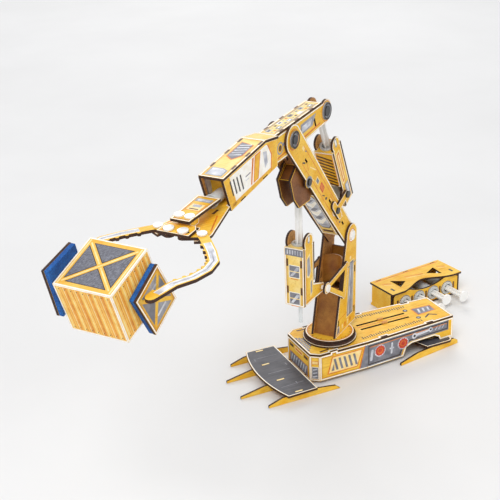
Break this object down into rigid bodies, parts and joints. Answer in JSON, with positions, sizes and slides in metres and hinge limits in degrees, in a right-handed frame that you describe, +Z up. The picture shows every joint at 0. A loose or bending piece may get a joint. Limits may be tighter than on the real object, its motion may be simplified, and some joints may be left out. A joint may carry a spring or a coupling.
{
  "type": "hydraulic arm kit",
  "caption": "Syringe-driven plywood robot arm on a slewing base with outriggers, holding a crate in its padded gripper, with a separate plunger control unit.",
  "frame": {"origin": "where the slewing axis meets the floor the base and the control unit stand on", "axes": "+X along the base from its outriggers to its rear, +Z up, -Y towards the viewer's side; the arm is turned 36 degrees about +Z and reaches towards -X"},
  "size_m": [0.6036, 0.3954, 0.323],
  "materials": {
    "plywood": "laser-cut plywood, printed golden yellow with white outlines, dark burnt edges",
    "bent_board": "thin bent board, printed dark brown",
    "crate_board": "thin board printed with planks and cross braces",
    "clear_barrel": "translucent moulded syringe barrel",
    "white_plastic": "moulded white plastic",
    "black_plastic": "moulded black pins",
    "foam": "closed-cell foam, blue"
  },
  "bodies": {
    "base": {"base_top": "plywood", "base_front_panels": "plywood", "base_side_panels": "plywood", "base_rear_panel": "plywood", "base_floor": "plywood", "front_foot_plate": "plywood", "front_foot_ribs": "plywood", "rear_foot_plate": "plywood", "rear_foot_bars": "plywood", "swivel_ring": "plywood", "slew_barrel": "clear_barrel", "control_panels": "plywood", "control_top": "plywood", "control_barrels": "clear_barrel"},
    "rack": {"slew_rack": "plywood", "slew_plunger": "white_plastic"},
    "turret": {"slew_pinion": "plywood", "swivel_disc": "plywood", "tower_sides": "plywood", "tower_panels": "plywood", "tower_liner": "bent_board", "cylinder_brackets": "plywood", "turret_pins": "black_plastic"},
    "lift_cylinder": {"lift_cylinder_shell": "plywood", "lift_cylinder_sides": "plywood", "lift_barrel": "clear_barrel"},
    "lift_rod": {"lift_plunger": "white_plastic"},
    "boom": {"boom_sides": "plywood", "boom_panels": "plywood", "boom_clevis": "plywood", "reach_brackets": "plywood", "boom_pins": "black_plastic"},
    "reach_cylinder": {"reach_cylinder_shell": "plywood", "reach_cylinder_sides": "plywood", "reach_barrel": "clear_barrel"},
    "reach_rod": {"reach_plunger": "white_plastic"},
    "forearm": {"forearm_rear_sides": "plywood", "forearm_front_sides": "plywood", "forearm_top": "plywood", "forearm_floor": "plywood", "forearm_pins": "black_plastic", "gripper_carrier": "plywood", "gripper_barrel": "clear_barrel", "claw_pivot_pins": "white_plastic"},
    "yoke": {"gripper_yoke": "plywood", "gripper_plunger": "white_plastic"},
    "near_jaw": {"claw_near": "plywood", "claw_pin_near": "white_plastic", "pad_near": "plywood", "foam_near": "foam"},
    "far_jaw": {"claw_far": "plywood", "claw_pin_far": "white_plastic", "pad_far": "plywood", "foam_far": "foam"},
    "load": {"crate": "crate_board"},
    "control_1": {"control_plunger_1": "white_plastic"},
    "control_2": {"control_plunger_2": "white_plastic"},
    "control_3": {"control_plunger_3": "white_plastic"},
    "control_4": {"control_plunger_4": "white_plastic"}
  },
  "joints": [
    {"name": "slew", "type": "hinge", "parent": "base", "child": "turret", "pos_m": [0, 0, 0], "axis": [0, 0, 1], "range_deg": [-126, 54]},
    {"name": "rack_slide", "type": "slide", "parent": "base", "child": "rack", "axis": [-1, 0, 0], "range_m": [-0.02, 0.0087]},
    {"name": "shoulder", "type": "hinge", "parent": "turret", "child": "boom", "pos_m": [0.02265, 0.01646, 0.154], "axis": [0.5878, -0.809, 0], "range_deg": [-15, 15]},
    {"name": "lift_tilt", "type": "hinge", "parent": "turret", "child": "lift_cylinder", "pos_m": [-0.03398, -0.02469, 0.12], "axis": [0.5878, -0.809, 0], "range_deg": [-11.3, 11.3]},
    {"name": "lift_stroke", "type": "slide", "parent": "lift_cylinder", "child": "lift_rod", "axis": [0, 0, 1], "range_m": [-0.0203, 0.0203]},
    {"name": "elbow", "type": "hinge", "parent": "boom", "child": "forearm", "pos_m": [-0.08333, -0.06054, 0.305], "axis": [0.5878, -0.809, 0], "range_deg": [-12, 12]},
    {"name": "reach_tilt", "type": "hinge", "parent": "boom", "child": "reach_cylinder", "pos_m": [0.01262, 0.00917, 0.207], "axis": [0.5878, -0.809, 0], "range_deg": [-3.8, 3.8]},
    {"name": "reach_stroke", "type": "slide", "parent": "reach_cylinder", "child": "reach_rod", "axis": [-0.3418, -0.2483, 0.9064], "range_m": [-0.0156, 0.0156]},
    {"name": "near_claw_pivot", "type": "hinge", "parent": "forearm", "child": "near_jaw", "pos_m": [-0.22273, -0.18852, 0.28193], "axis": [-0.0564, -0.041, 0.9976], "range_deg": [0, 25]},
    {"name": "far_claw_pivot", "type": "hinge", "parent": "forearm", "child": "far_jaw", "pos_m": [-0.24812, -0.15357, 0.28193], "axis": [-0.0564, -0.041, 0.9976], "range_deg": [-25.2, 0.2]},
    {"name": "yoke_slide", "type": "slide", "parent": "forearm", "child": "yoke", "axis": [-0.807, -0.5864, -0.0698], "range_m": [-0.0001, 0.0057]},
    {"name": "crate_withdrawal", "type": "slide", "parent": "forearm", "child": "load", "axis": [-0.809, -0.5878, 0], "range_m": [0, 0.06]},
    {"name": "control_1_stroke", "type": "slide", "parent": "base", "child": "control_1", "axis": [0.1271, -0.9919, 0], "range_m": [-0.0112, 0.0001]},
    {"name": "control_2_stroke", "type": "slide", "parent": "base", "child": "control_2", "axis": [0.1271, -0.9919, 0], "range_m": [-0.0121, 0.0121]},
    {"name": "control_3_stroke", "type": "slide", "parent": "base", "child": "control_3", "axis": [0.1271, -0.9919, 0], "range_m": [-0.0121, 0.0121]},
    {"name": "control_4_stroke", "type": "slide", "parent": "base", "child": "control_4", "axis": [0.1271, -0.9919, 0], "range_m": [-0.0053, 0.0121]}
  ],
  "couplings": [
    {"joint": "rack_slide", "follows": "slew", "m_per_rad": 0.009},
    {"joint": "control_1_stroke", "follows": "near_claw_pivot", "m_per_rad": -0.025},
    {"joint": "lift_tilt", "follows": "shoulder", "ratio": 0.739},
    {"joint": "lift_stroke", "follows": "shoulder", "m_per_rad": -0.0769},
    {"joint": "control_2_stroke", "follows": "shoulder", "m_per_rad": 0.045},
    {"joint": "reach_tilt", "follows": "elbow", "ratio": -0.298},
    {"joint": "reach_stroke", "follows": "elbow", "m_per_rad": 0.0737},
    {"joint": "control_3_stroke", "follows": "elbow", "m_per_rad": -0.055},
    {"joint": "far_claw_pivot", "follows": "near_claw_pivot", "ratio": -1},
    {"joint": "yoke_slide", "follows": "near_claw_pivot", "m_per_rad": 0.0128},
    {"joint": "control_4_stroke", "follows": "slew", "m_per_rad": -0.0054}
  ]
}
